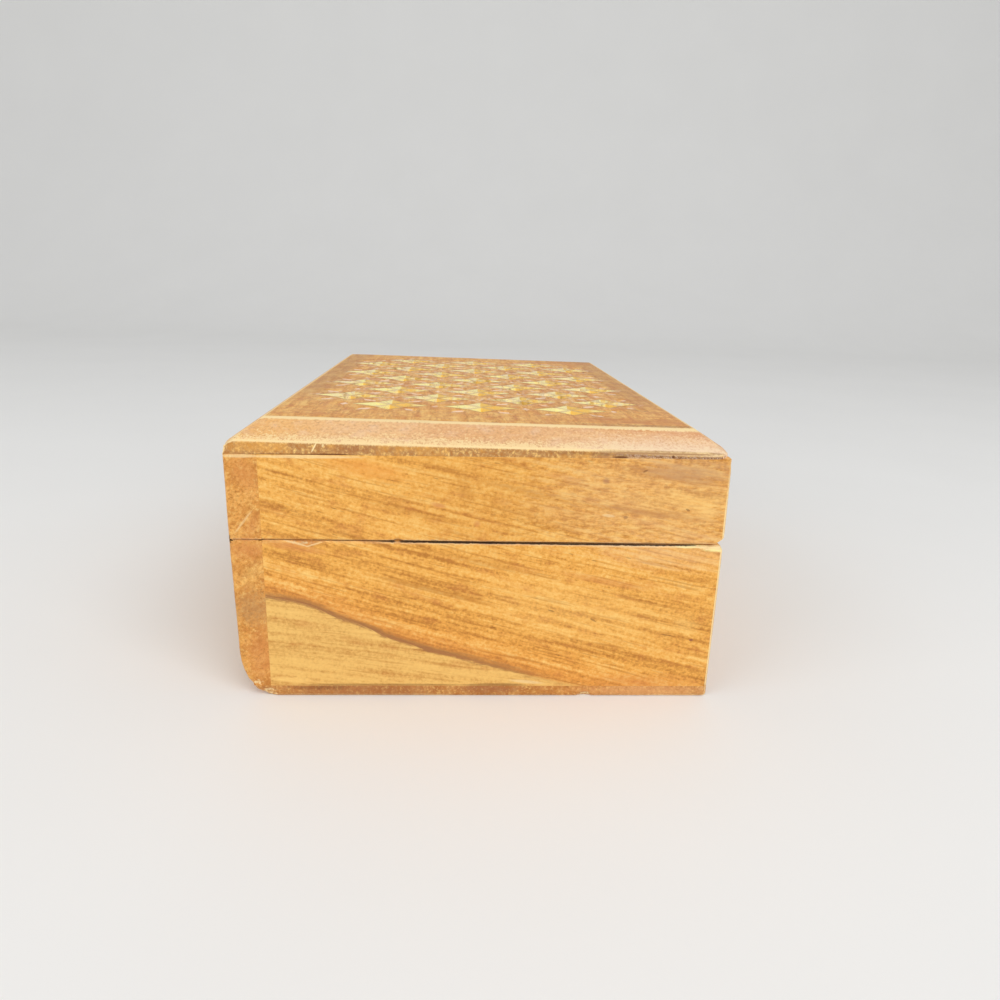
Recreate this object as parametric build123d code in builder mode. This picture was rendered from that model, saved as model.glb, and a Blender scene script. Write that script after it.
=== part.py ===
"""Wooden trinket box with a hinged, bevelled lid, carved chips and a lattice of inlaid brass flowers.

Millimetres. The origin is the centre of the underside, +Z is up, the near end is at -Y
and the hinges are on the long side at -X. The lid is closed.
"""

import os
from math import atan2, degrees

from build123d import *

os.makedirs("parts", exist_ok=True)

# Box
box_width = 108.0
box_length = 152.0
base_height = 38.0
wall = 7.0
bottom_thick = 2.7
edge_chamfer = 0.35

# Hand-made irregularities of the base outline
hinge_side_lean = 0.4
open_side_flare = 0.4
heel_width = 7.1
heel_height = 12.0
open_edge_wear_width = 0.5
open_edge_wear_height = 1.2

# Seam between base and lid, a little open at the front
hinge_seam_gap = 0.05
open_seam_gap = 0.35

# Lid frame
lid_frame_hinge_height = 18.65
lid_frame_open_height = 19.45
lid_open_side_lean = 0.5
thumb_bevel_width = 1.9
thumb_bevel_height = 1.4

# Bevelled top board
hinge_board_thick = 6.7
open_board_thick = 4.9
end_bevel_inset = 8.0
end_bevel_drop = 3.6
hinge_bevel_inset = 6.7
hinge_bevel_drop = 4.7
open_bevel_inset = 6.3
open_bevel_drop = 3.8
worn_corner_round = 4.0

# Lattice of flowers and chips on the top board
lattice_side_border = 21.0
lattice_end_border = 27.4
cross_step_count = 3
long_step_count = 4
petal_start_gap = 0.4
cross_petal_length = 8.6
long_petal_length = 6.6
petal_width = 5.8
petal_shoulder_offset = 3.3
petal_thick = 2.3
petal_rim_width = 0.2
petal_valley_offset = 1.4
petal_valley_depth = 1.8
petal_gap = 0.05
leaf_chip_length = 6.2
leaf_chip_width = 3.0
leaf_chip_depth = 1.5
star_chip_length = 4.6
star_chip_width = 2.6
star_chip_depth = 1.1

# Butt hinges
hinge_end_inset = 34.0
hinge_length = 20.0
leaf_thick = 0.7
leaf_width = 5.4
axis_offset = 0.7
knuckle_radius = 1.2
knuckle_gap = 0.2
knuckle_end_gap = 0.15
pin_radius = 0.55
pin_gap = 0.05
seat_gap = 0.1

# Hinge screws
screw_pitch = 12.0
screw_inset = 3.1
screw_shank_radius = 0.6
screw_length = 6.0
screw_sink_depth = 0.05
screw_gap = 0.03
pilot_spare_depth = 0.5

# Places worked out from the values above
trim_margin = 2.0
half_width = box_width / 2
half_length = box_length / 2
inner_x = half_width - wall
inner_y = half_length - wall
outer_x = half_width + trim_margin
outer_y = half_length + trim_margin
lid_foot_hinge = base_height + hinge_seam_gap
lid_foot_open = base_height + open_seam_gap
joint_hinge = lid_foot_hinge + lid_frame_hinge_height
joint_open = lid_foot_open + lid_frame_open_height
lid_open_x = half_width - lid_open_side_lean
top_hinge = joint_hinge + hinge_board_thick
top_open = joint_open + open_board_thick
top_middle = (top_hinge + top_open) / 2
axis_x = -half_width - axis_offset
axis_z = base_height + hinge_seam_gap / 2
leaf_edge_x = axis_x + knuckle_radius + knuckle_gap
leaf_inner_x = -half_width + leaf_width
screw_x = -half_width + screw_inset
hinge_offset = half_length - hinge_end_inset
hinge_places = {"near": -hinge_offset, "far": hinge_offset}
cross_half_pitch = (half_width - lattice_side_border) / cross_step_count
long_half_pitch = (half_length - lattice_end_border) / long_step_count
top_plane = Plane(
    origin=(0, 0, top_middle),
    x_dir=(box_width, 0, top_open - top_hinge),
    z_dir=(top_hinge - top_open, 0, box_width),
)


def save(piece, name):
    """Label a finished piece and write it to its own file."""
    piece.part.label = name
    export_step(piece.part, f"parts/{name}.step")


def lay_rectangle(x_low, x_high, y_low, y_high):
    """Draw a rectangle in the open sketch by its four limits."""
    with Locations(((x_low + x_high) / 2, (y_low + y_high) / 2)):
        Rectangle(x_high - x_low, y_high - y_low)


# Outer shapes that trim the walls, so that every joint between two pieces runs out flush
with BuildPart() as base_outline:
    with BuildSketch(Plane.XZ):
        with BuildLine():
            heel_x = -half_width + hinge_side_lean
            heel_foot = (heel_x + heel_width, 0)
            EllipticalCenterArc((heel_foot[0], heel_height), heel_width, heel_height, 180, arc_size=90)
            Polyline(
                heel_foot,
                (half_width + open_side_flare, 0),
                (half_width, base_height - open_edge_wear_height),
                (half_width - open_edge_wear_width, base_height),
                (-half_width, base_height),
                (heel_x, heel_height),
            )
        make_face()
    extrude(amount=half_length, both=True)
    bottom_edges = base_outline.edges().filter_by(Axis.Y).group_by(Axis.Z)[0]
    chamfer(bottom_edges.sort_by(Axis.X)[-1], edge_chamfer)
    chamfer(base_outline.faces().sort_by(Axis.Y)[0].edges(), edge_chamfer)
    chamfer(base_outline.faces().sort_by(Axis.Y)[-1].edges(), edge_chamfer)

with BuildPart() as lid_frame_outline:
    with BuildSketch(Plane.XZ):
        with BuildLine():
            Polyline(
                (-half_width, lid_foot_hinge),
                (half_width - thumb_bevel_width, lid_foot_open),
                (half_width, lid_foot_open + thumb_bevel_height),
                (lid_open_x, joint_open),
                (-half_width, joint_hinge),
                close=True,
            )
        make_face()
    extrude(amount=half_length, both=True)
    chamfer(lid_frame_outline.edges().filter_by(Plane.XZ).group_by(Axis.X)[0], edge_chamfer)
    chamfer(lid_frame_outline.edges().filter_by(Plane.XZ).group_by(Axis.X)[-1], edge_chamfer)

# The four walls chase each other round the box: each covers the end of the next
wall_limits = {
    "near_wall": (-inner_x, outer_x, -outer_y, -inner_y),
    "right_wall": (inner_x, outer_x, -inner_y, outer_y),
    "far_wall": (-outer_x, inner_x, inner_y, outer_y),
    "left_wall": (-outer_x, -inner_x, -outer_y, inner_y),
}


def turn_screw(head_depth, gap, foot_depth):
    """A countersunk screw, grown by a gap, in a leaf whose face is at Z 0."""
    with BuildPart() as screw:
        with BuildSketch(Plane.XZ):
            with BuildLine():
                Polyline(
                    (0, -head_depth),
                    (screw_shank_radius + gap + leaf_thick - head_depth, -head_depth),
                    (screw_shank_radius + gap, -leaf_thick),
                    (screw_shank_radius + gap, -foot_depth),
                    (0, -foot_depth),
                    close=True,
                )
            make_face()
        revolve(axis=Axis.Z)
    return screw.part


def screw_mouths(face_z, into, middles):
    """Where the screws of the leaves with these middles enter them, two screws to a leaf."""
    turn = 180 if into > 0 else 0
    places = [y_middle + side * screw_pitch / 2 for y_middle in middles for side in (-1, 1)]
    return [Location((screw_x, y, face_z), (turn, 0, 0)) for y in places]


hinge_screw = turn_screw(screw_sink_depth, 0, screw_length)
screw_hole = turn_screw(0, screw_gap, screw_length + pilot_spare_depth)


def hinge_seats(face_z, into):
    """Mortises, knuckle hollows and pilot holes that both hinges need in one hinge-side wall."""
    with BuildPart() as seats:
        for y_middle in hinge_places.values():
            reach_y = hinge_length / 2 + seat_gap
            with BuildSketch(Plane.XY.offset(face_z)):
                lay_rectangle(-outer_x, leaf_inner_x + seat_gap, y_middle - reach_y, y_middle + reach_y)
            extrude(amount=into * leaf_thick)
            with BuildSketch(Plane.XZ.offset(-y_middle)):
                with Locations((axis_x, axis_z)):
                    Circle(knuckle_radius + knuckle_gap)
            extrude(amount=reach_y, both=True)
        with Locations(*screw_mouths(face_z, into, hinge_places.values())):
            add(screw_hole)
    return seats.part


for name, limits in wall_limits.items():
    with BuildPart() as base_wall:
        with BuildSketch(Plane.XY.offset(bottom_thick)):
            lay_rectangle(*limits)
        extrude(amount=base_height - bottom_thick)
        add(base_outline.part, mode=Mode.INTERSECT)
        if name == "left_wall":
            add(hinge_seats(base_height, -1), mode=Mode.SUBTRACT)
    save(base_wall, f"base_{name}")

    with BuildPart() as lid_wall:
        with BuildSketch(Plane.XY.offset(base_height)):
            lay_rectangle(*limits)
        extrude(amount=joint_open - base_height + trim_margin)
        add(lid_frame_outline.part, mode=Mode.INTERSECT)
        if name == "left_wall":
            add(hinge_seats(lid_foot_hinge, 1), mode=Mode.SUBTRACT)
    save(lid_wall, f"lid_{name}")

with BuildPart() as base_bottom_board:
    with BuildSketch():
        lay_rectangle(-outer_x, outer_x, -outer_y, outer_y)
    extrude(amount=bottom_thick)
    add(base_outline.part, mode=Mode.INTERSECT)
save(base_bottom_board, "base_bottom_board")


def kite(length, width):
    """Draw a petal outline that points along +X and starts at the origin."""
    shoulder = petal_shoulder_offset
    Polygon((0, 0), (shoulder, -width / 2), (length, 0), (shoulder, width / 2), align=None)


def make_petal(length):
    """One brass petal, its rim flush with the board and its face hollowed to a point near its start."""
    with BuildPart() as petal:
        with BuildSketch():
            kite(length, petal_width)
        extrude(amount=-petal_thick)
        with BuildSketch() as valley_rim:
            kite(length, petal_width)
            offset(amount=-petal_rim_width, kind=Kind.INTERSECTION)
        lowest = Vertex(petal_valley_offset, 0, -petal_valley_depth)
        loft([valley_rim.sketch.face(), lowest], mode=Mode.SUBTRACT)
    return petal.part


def make_chip(length, width, depth):
    """The wood that one four-sided carving cut takes away, long along X."""
    with BuildPart() as chip:
        with BuildSketch() as chip_rim:
            Polygon((-length / 2, 0), (0, -width / 2), (length / 2, 0), (0, width / 2), align=None)
        loft([chip_rim.sketch.face(), Vertex(0, 0, -depth)])
    return chip.part


# Lattice places in half pitches: flowers and star chips alternate like the squares of a chessboard
steps_across = range(-cross_step_count, cross_step_count + 1)
steps_along = range(-long_step_count, long_step_count + 1)


def in_row(step_along, parity):
    """Steps across the lid at which a row holds flowers (parity 0) or star chips (parity 1)."""
    return [step for step in steps_across if (step + step_along + long_step_count) % 2 == parity]


def flower_spots(step_along):
    """Places and turns of the four petals of each flower in one row, with the petal lengths."""
    spots = []
    for step in in_row(step_along, 0):
        for turn, length in enumerate([cross_petal_length, long_petal_length] * 2):
            centre = (step * cross_half_pitch, step_along * long_half_pitch, 0)
            start = Location((petal_start_gap, 0, 0))
            spots.append((Location(centre, (0, 0, 90 * turn)) * start, length))
    return spots


leaf_turn = degrees(atan2(long_half_pitch, cross_half_pitch))
leaf_chip_spots = {
    (step + side / 2, step_along + rise / 2): leaf_turn * side * rise
    for step_along in steps_along
    for step in in_row(step_along, 0)
    for side in (-1, 1)
    for rise in (-1, 1)
}
star_chip_spots = [(step, step_along) for step_along in steps_along for step in in_row(step_along, 1)]

petals = {length: make_petal(length) for length in (cross_petal_length, long_petal_length)}
leaf_chip = make_chip(leaf_chip_length, leaf_chip_width, leaf_chip_depth)
star_chip = make_chip(star_chip_length, star_chip_width, star_chip_depth)

with BuildPart() as lid_top_board:
    with BuildSketch(Plane.XZ):
        with BuildLine():
            Polyline(
                (-half_width, joint_hinge),
                (lid_open_x, joint_open),
                (lid_open_x, top_open),
                (-half_width, top_hinge),
                close=True,
            )
        make_face()
    extrude(amount=half_length, both=True)
    top_face = lid_top_board.faces().sort_by(Axis.Z)[-1]
    end_edges = top_face.edges().sort_by(Axis.Y)
    chamfer([end_edges[0], end_edges[-1]], end_bevel_inset, end_bevel_drop, reference=top_face)
    top_face = lid_top_board.faces().sort_by(Axis.Z)[-1]
    hinge_edge = top_face.edges().sort_by(Axis.X)[0]
    chamfer(hinge_edge, hinge_bevel_inset, hinge_bevel_drop, reference=top_face)
    top_face = lid_top_board.faces().sort_by(Axis.Z)[-1]
    open_edge = top_face.edges().sort_by(Axis.X)[-1]
    chamfer(open_edge, open_bevel_inset, open_bevel_drop, reference=top_face)
    near_corners = lid_top_board.edges().filter_by(Axis.Z).group_by(Axis.Y)[0]
    fillet(near_corners.sort_by(Axis.X)[-1], worn_corner_round)
    with BuildSketch(top_plane):
        for step_along in steps_along:
            for spot, length in flower_spots(step_along):
                with Locations(spot):
                    with BuildSketch(mode=Mode.PRIVATE) as pocket:
                        kite(length, petal_width)
                        offset(amount=petal_gap, kind=Kind.INTERSECTION)
                    add(pocket.sketch)
    extrude(amount=-petal_thick, mode=Mode.SUBTRACT)
    chip_tools = []
    for (step, step_along), turn in leaf_chip_spots.items():
        place = Location((step * cross_half_pitch, step_along * long_half_pitch, 0), (0, 0, turn))
        chip_tools.append(top_plane.location * place * leaf_chip)
    for step, step_along in star_chip_spots:
        place = Location((step * cross_half_pitch, step_along * long_half_pitch, 0), (0, 0, 90))
        chip_tools.append(top_plane.location * place * star_chip)
    add(chip_tools, mode=Mode.SUBTRACT)
save(lid_top_board, "lid_top_board")

for row, step_along in enumerate(steps_along, start=1):
    with BuildPart() as inlay_row:
        for spot, length in flower_spots(step_along):
            with Locations(top_plane.location * spot):
                add(petals[length])
    save(inlay_row, f"inlay_row_{row}")


def make_leaf(y_middle, face_z, into, knuckle_spans):
    """One hinge leaf: a plate let into a wall, its own knuckles, a pin bore and countersunk holes."""
    with BuildPart() as leaf:
        with BuildSketch(Plane.XY.offset(face_z)):
            half_leaf = hinge_length / 2
            lay_rectangle(leaf_edge_x, leaf_inner_x, y_middle - half_leaf, y_middle + half_leaf)
            for y_low, y_high in knuckle_spans:
                lay_rectangle(axis_x, leaf_edge_x, y_middle + y_low, y_middle + y_high)
        extrude(amount=into * leaf_thick)
        for y_low, y_high in knuckle_spans:
            with BuildSketch(Plane.XZ.offset(-y_middle - y_high)):
                with Locations((axis_x, axis_z)):
                    Circle(knuckle_radius)
            extrude(amount=y_high - y_low)
        with BuildSketch(Plane.XZ.offset(-y_middle)):
            with Locations((axis_x, axis_z)):
                Circle(pin_radius + pin_gap)
        extrude(amount=hinge_length, both=True, mode=Mode.SUBTRACT)
        with Locations(*screw_mouths(face_z, into, [y_middle])):
            add(screw_hole, mode=Mode.SUBTRACT)
    return leaf


third = hinge_length / 3
base_spans = [(-hinge_length / 2, -third / 2), (third / 2, hinge_length / 2)]
lid_spans = [(-third / 2 + knuckle_end_gap, third / 2 - knuckle_end_gap)]
for end, y_middle in hinge_places.items():
    save(make_leaf(y_middle, base_height, -1, base_spans), f"hinge_{end}_base_leaf")
    save(make_leaf(y_middle, lid_foot_hinge, 1, lid_spans), f"hinge_{end}_lid_leaf")
    with BuildPart() as hinge_pin:
        with BuildSketch(Plane.XZ.offset(-y_middle)):
            with Locations((axis_x, axis_z)):
                Circle(pin_radius)
        extrude(amount=hinge_length / 2, both=True)
    save(hinge_pin, f"hinge_{end}_pin")

with BuildPart() as base_hinge_screws:
    with Locations(*screw_mouths(base_height, -1, hinge_places.values())):
        add(hinge_screw)
save(base_hinge_screws, "base_hinge_screws")

with BuildPart() as lid_hinge_screws:
    with Locations(*screw_mouths(lid_foot_hinge, 1, hinge_places.values())):
        add(hinge_screw)
save(lid_hinge_screws, "lid_hinge_screws")
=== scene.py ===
"""Finish for the wooden trinket box: solid grain in every board, rubbed edges, carved lid, brass flowers."""

import math

import bmesh
import bpy
from bpy.props import FloatProperty, FloatVectorProperty, PointerProperty
from mathutils import Color, Matrix, Vector, noise


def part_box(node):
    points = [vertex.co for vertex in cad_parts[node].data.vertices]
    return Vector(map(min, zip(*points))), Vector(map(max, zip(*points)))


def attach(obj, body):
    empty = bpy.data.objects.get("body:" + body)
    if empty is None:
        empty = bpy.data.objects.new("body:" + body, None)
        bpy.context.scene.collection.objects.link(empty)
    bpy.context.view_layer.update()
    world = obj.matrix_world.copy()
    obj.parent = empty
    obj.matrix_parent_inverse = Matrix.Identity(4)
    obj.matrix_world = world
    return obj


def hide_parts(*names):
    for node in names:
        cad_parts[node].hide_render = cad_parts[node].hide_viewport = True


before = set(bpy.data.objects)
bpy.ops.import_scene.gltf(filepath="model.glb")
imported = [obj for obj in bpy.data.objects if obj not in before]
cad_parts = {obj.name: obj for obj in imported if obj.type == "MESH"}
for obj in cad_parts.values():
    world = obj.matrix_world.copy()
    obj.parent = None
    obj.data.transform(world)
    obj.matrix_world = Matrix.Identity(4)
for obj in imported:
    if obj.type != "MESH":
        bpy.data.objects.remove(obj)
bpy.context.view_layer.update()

bl_info = {
    "name": "Trinket Box Finish",
    "version": (1, 0, 0),
    "blender": (4, 5, 0),
    "location": "3D View > Sidebar > Trinket Box",
    "description": "Dresses the packed trinket box with wood, brass, wear and a plain studio stage",
    "category": "Object",
}

MM = 0.001
AXES = {"X": Vector((1, 0, 0)), "Y": Vector((0, 1, 0)), "Z": Vector((0, 0, 1))}

# Sides of a wall open to the hand, besides its seam side: outer, inner and end
OPEN_SIDES = {
    "near_wall": ("-Y", "+Y", "+X"),
    "right_wall": ("+X", "-X", "+Y"),
    "far_wall": ("+Y", "-Y", "-X"),
    "left_wall": ("-X", "+X", "-Y"),
}
SEAM_SIDE = {"base": "+Z", "lid": "-Z"}

# Half pitches of the lattice of flowers, across and along the lid in mm
FLOWER_PITCH = (11.0, 12.15)

# Half sizes of the field of carved chips and pockets, whose cut edges stay sharp, in mm
CARVED_FIELD = (45.0, 60.0)

# Corners join when nearer than this, in metres
JOIN_REACH = 0.002 * MM

# Faces that meet at less than the first angle are one flat, under the second the edge stays as it is,
# and under the third it is shaded smooth
FLAT_ANGLE = math.radians(0.6)
SHARP_ANGLE = math.radians(20)
SMOOTH_ANGLE = math.radians(35)

# Places that the finishes follow, in mm: the seam's height, then across and along the box, just under the
# outer faces and just round the hollow
SEAM = 38.03
OUTER_FACES = (53.2, 75.2)
HOLLOW = (47.3, 69.3)

# Extra cuts go this far in from a board's ends, in metres
END_MARGIN = 0.9 * MM

# The lid's flat: its height in the middle and fall to the right, and how far out its end and side borders lie
TOP_HEIGHT = 63.049
TOP_FALL = 0.00651
END_BORDER = 68.15
SIDE_BORDER = 47.25

# The rubbed lip over the upright ends of the top board: its height in the middle and fall to the right, in mm
LIP_HEIGHT = 59.449
LIP_FALL = 0.0065

# Course of the heart streak over the near end, x and z in mm
HEART_STREAK = [
    (-56.0, 26.6), (-46.7, 24.8), (-39.6, 23.5), (-31.0, 20.0), (-17.8, 14.4),
    (-8.7, 11.4), (0.5, 8.9), (9.8, 6.3), (14.5, 5.0), (56.0, -4.5),
]

# Knocks and worn corners: node, middle in mm, reach in mm, push in mm, how fresh the wood shows
KNOCKS = [
    ("base_near_wall", (-38.6, -76.0, 37.8), (3.4, 1.1, 0.9), (0, 0.3, -0.4), 0.3),
    ("base_near_wall", (-18.3, -76.0, 38.0), (0.9, 0.8, 0.7), (0, 0.3, -0.4), 0.0),
    ("base_near_wall", (52.0, -76.0, 38.0), (5.0, 1.4, 1.2), (-0.1, 0.35, -0.3), 1.0),
    ("lid_near_wall", (-18.0, -76.0, 38.2), (1.1, 0.8, 0.7), (0, 0.3, 0.4), 0.0),
    ("lid_near_wall", (54.0, -76.0, 58.0), (2.4, 2.4, 3.0), (-0.15, 0.15, 0), 0.0),
    ("base_bottom_board", (25.2, -76.0, 0.2), (1.8, 0.9, 1.1), (0, 0.5, 0.3), 0.8),
    ("base_bottom_board", (-47.6, -76.0, 0.9), (2.4, 1.6, 1.3), (0.25, 0.5, 0.2), 0.4),
    ("base_left_wall", (-50.2, -76.0, 3.4), (1.7, 1.4, 1.2), (0.3, 0.5, 0.1), 0.4),
    ("lid_top_board", (53.5, -76.0, 60.0), (6.0, 6.0, 3.0), (-0.12, 0.3, -0.75), 0.0),
    ("lid_top_board", (-54.0, -76.0, 59.4), (3.2, 3.2, 2.6), (0.4, 0.3, -0.4), 0.0),
]

# Marks on the near end, on its boards, the left wall, the bottom board and the top board: middle x, z in mm,
# reach x, z in mm, slope, colour, amount
NEAR_MARKS = [
    (35.0, 45.6, 19.0, 1.1, -0.11, "dark", 0.6),
    (10.0, 49.6, 15.0, 1.0, -0.23, "dark", 0.45),
    (41.0, 54.0, 15.0, 2.0, -0.12, "dark", 0.6),
    (-14.0, 44.5, 16.0, 1.0, -0.24, "dark", 0.35),
    (26.4, 52.5, 1.0, 0.9, 0.0, "knot", 0.9),
    (27.5, 44.7, 1.7, 0.4, -0.1, "rubbed", 0.6),
    (31.3, 44.4, 0.6, 0.4, 0.0, "pore", 0.55),
    (49.0, 45.8, 3.6, 3.0, -0.3, "pale", 0.5),
    (2.0, 48.0, 24.0, 16.0, 0.0, "dark", 0.14),
    (38.0, 49.0, 32.0, 16.0, 0.0, "bevel", 0.25),
    (36.0, 49.0, 30.0, 16.0, 0.0, "dull", 0.14),
    (45.0, 55.4, 12.0, 3.0, -0.05, "bevel", 0.35),
    (46.0, 55.2, 13.0, 3.0, -0.05, "dull", 0.4),
    (44.0, 48.4, 14.0, 3.6, -0.04, "pale", 0.35),
    (24.0, 21.0, 30.0, 9.0, -0.15, "pale", 0.22),
    (44.0, 36.0, 22.0, 5.0, -0.03, "bevel", 0.3),
    (-9.5, 46.3, 1.8, 1.0, -0.2, "red", 0.7),
    (-3.6, 49.7, 2.4, 3.4, -0.8, "dark", 0.3),
    (-1.1, 42.2, 0.9, 1.0, 0.0, "red", 0.7),
    (-25.0, 54.2, 11.0, 2.6, -0.2, "warm", 0.6),
    (-40.5, 36.4, 8.0, 1.1, -0.17, "red", 0.7),
    (2.0, 33.0, 15.0, 1.0, -0.22, "dark", 0.35),
    (-10.0, 26.5, 16.0, 0.7, -0.26, "dark", 0.5),
    (26.0, 29.6, 12.0, 1.1, -0.2, "red", 0.45),
    (44.9, 46.3, 0.6, 0.3, -0.3, "pore", 0.55),
    (34.7, 54.9, 0.6, 0.3, 0.4, "pore", 0.55),
    (16.2, 21.9, 0.9, 0.25, -0.25, "pore", 0.55),
    (25.9, 19.7, 0.8, 0.3, -0.5, "pore", 0.55),
    (43.4, 16.0, 1.5, 0.25, -0.15, "pore", 0.5),
    (49.2, 14.8, 0.6, 0.4, 0.0, "knot", 0.9),
    (30.0, 13.3, 4.5, 0.35, -0.18, "dark", 0.5),
    (47.5, 18.5, 4.0, 2.6, -0.2, "pale", 0.4),
    (40.0, 4.0, 16.0, 2.6, -0.03, "red", 0.35),
    (-38.5, 37.3, 4.0, 0.7, 0.0, "red", 0.5),
    (-40.0, 37.3, 3.0, 0.22, -0.24, "rubbed", 0.6),
    (-35.9, 37.15, 2.0, 0.24, 0.3, "rubbed", 0.55),
    (52.5, 37.2, 4.5, 0.75, 0.02, "bare", 1.0),
    (47.5, 37.75, 6.5, 0.4, 0.02, "bare", 0.9),
    # Painted highlight: a thin pale line just under the lid's joint
    (-38.0, 56.45, 14.0, 0.42, 0.012, "rubbed", 0.6),
    (-22.0, 2.95, 24.0, 0.32, 0.0, "pore", 0.5),
    (4.0, 2.95, 8.0, 0.5, 0.0, "pore", 0.55),
    (11.5, 3.8, 4.6, 0.5, -0.1, "rubbed", 0.55),
    (-42.0, 4.2, 5.0, 1.0, -0.05, "pale", 0.7),
]
LEFT_MARKS = [
    (-50.0, 35.6, 5.0, 2.8, 0.0, "red", 0.6),
    (-49.6, 30.0, 4.0, 3.2, 0.6, "pale", 0.3),
    (-49.5, 22.0, 5.5, 5.5, 0.0, "dull", 0.6),
    (-48.6, 10.5, 4.0, 9.0, 0.0, "red", 0.55),
    (-49.6, 52.5, 3.6, 5.0, -0.6, "red", 0.4),
    (-50.6, 42.0, 2.2, 0.45, 1.3, "rubbed", 0.4),
    (-49.0, 41.0, 2.4, 3.0, 1.3, "red", 0.4),
    # Painted highlight: the same thin pale line under the lid's joint
    (-50.5, 56.35, 5.0, 0.42, 0.012, "rubbed", 0.6),
]
BOTTOM_MARKS = [
    (-26.0, 1.5, 22.0, 2.6, 0.0, "knot", 0.5),
    (-36.0, 2.2, 8.0, 0.8, 0.0, "pore", 0.5),
    (3.0, 1.9, 9.0, 1.6, 0.0, "knot", 0.6),
    (36.0, 1.4, 24.0, 2.4, 0.0, "warm", 0.35),
    (40.0, 1.4, 20.0, 2.4, 0.0, "bevel", 0.3),
]
TOP_MARKS = [
    (-35.2, 58.5, 0.75, 0.4, 1.7, "rubbed", 1.0),
    (-33.4, 58.9, 0.3, 0.4, 0.5, "rubbed", 0.8),
    (-38.0, 56.92, 14.0, 0.2, 0.012, "pore", 0.8),
    (-32.0, 57.05, 4.5, 0.25, 0.012, "pore", 0.9),
    (-47.5, 58.4, 7.0, 1.6, 0.0, "light", 0.6),
    (-27.0, 58.3, 9.0, 1.2, 0.0, "knot", 0.35),
    (29.0, 57.8, 2.1, 0.28, 0.0, "pore", 0.95),
    (40.4, 58.1, 0.4, 0.4, 0.0, "pore", 0.9),
    (38.0, 58.9, 17.0, 0.5, -0.006, "dull", 0.9),
]


def linear(colour):
    """A display colour as the linear values that shaders take, with alpha."""
    return (*Color(colour).from_srgb_to_scene_linear(), 1.0)


class Value:
    """A number that changes over a surface: arithmetic on it adds Math nodes."""

    def __init__(self, graph, socket):
        self.graph = graph
        self.socket = socket

    def __add__(self, other):
        return self.graph.math("ADD", self, other)

    __radd__ = __add__

    def __sub__(self, other):
        return self.graph.math("SUBTRACT", self, other)

    def __rsub__(self, other):
        return self.graph.math("SUBTRACT", other, self)

    def __mul__(self, other):
        return self.graph.math("MULTIPLY", self, other)

    __rmul__ = __mul__

    def __truediv__(self, other):
        return self.graph.math("DIVIDE", self, other)

    def __rtruediv__(self, other):
        return self.graph.math("DIVIDE", other, self)

    def __pow__(self, other):
        return self.graph.math("POWER", self, other)

    def __abs__(self):
        return self.graph.math("ABSOLUTE", self)

    def least(self, other):
        return self.graph.math("MINIMUM", self, other)

    def most(self, other):
        return self.graph.math("MAXIMUM", self, other)

    def over(self, limit):
        """How far the value lies over a limit, or else 0."""
        return (self - limit).most(0.0)

    def under(self, limit):
        """How far the value lies under a limit, or else 0."""
        return (limit - self).most(0.0)

    def ramp(self, low, high, to_low=0.0, to_high=1.0):
        """A smooth step from to_low at low to to_high at high."""
        values = {"Value": self, "From Min": low, "From Max": high, "To Min": to_low, "To Max": to_high}
        node = self.graph.node("ShaderNodeMapRange", {"interpolation_type": "SMOOTHSTEP"}, values)
        return Value(self.graph, node.outputs["Result"])


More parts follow.
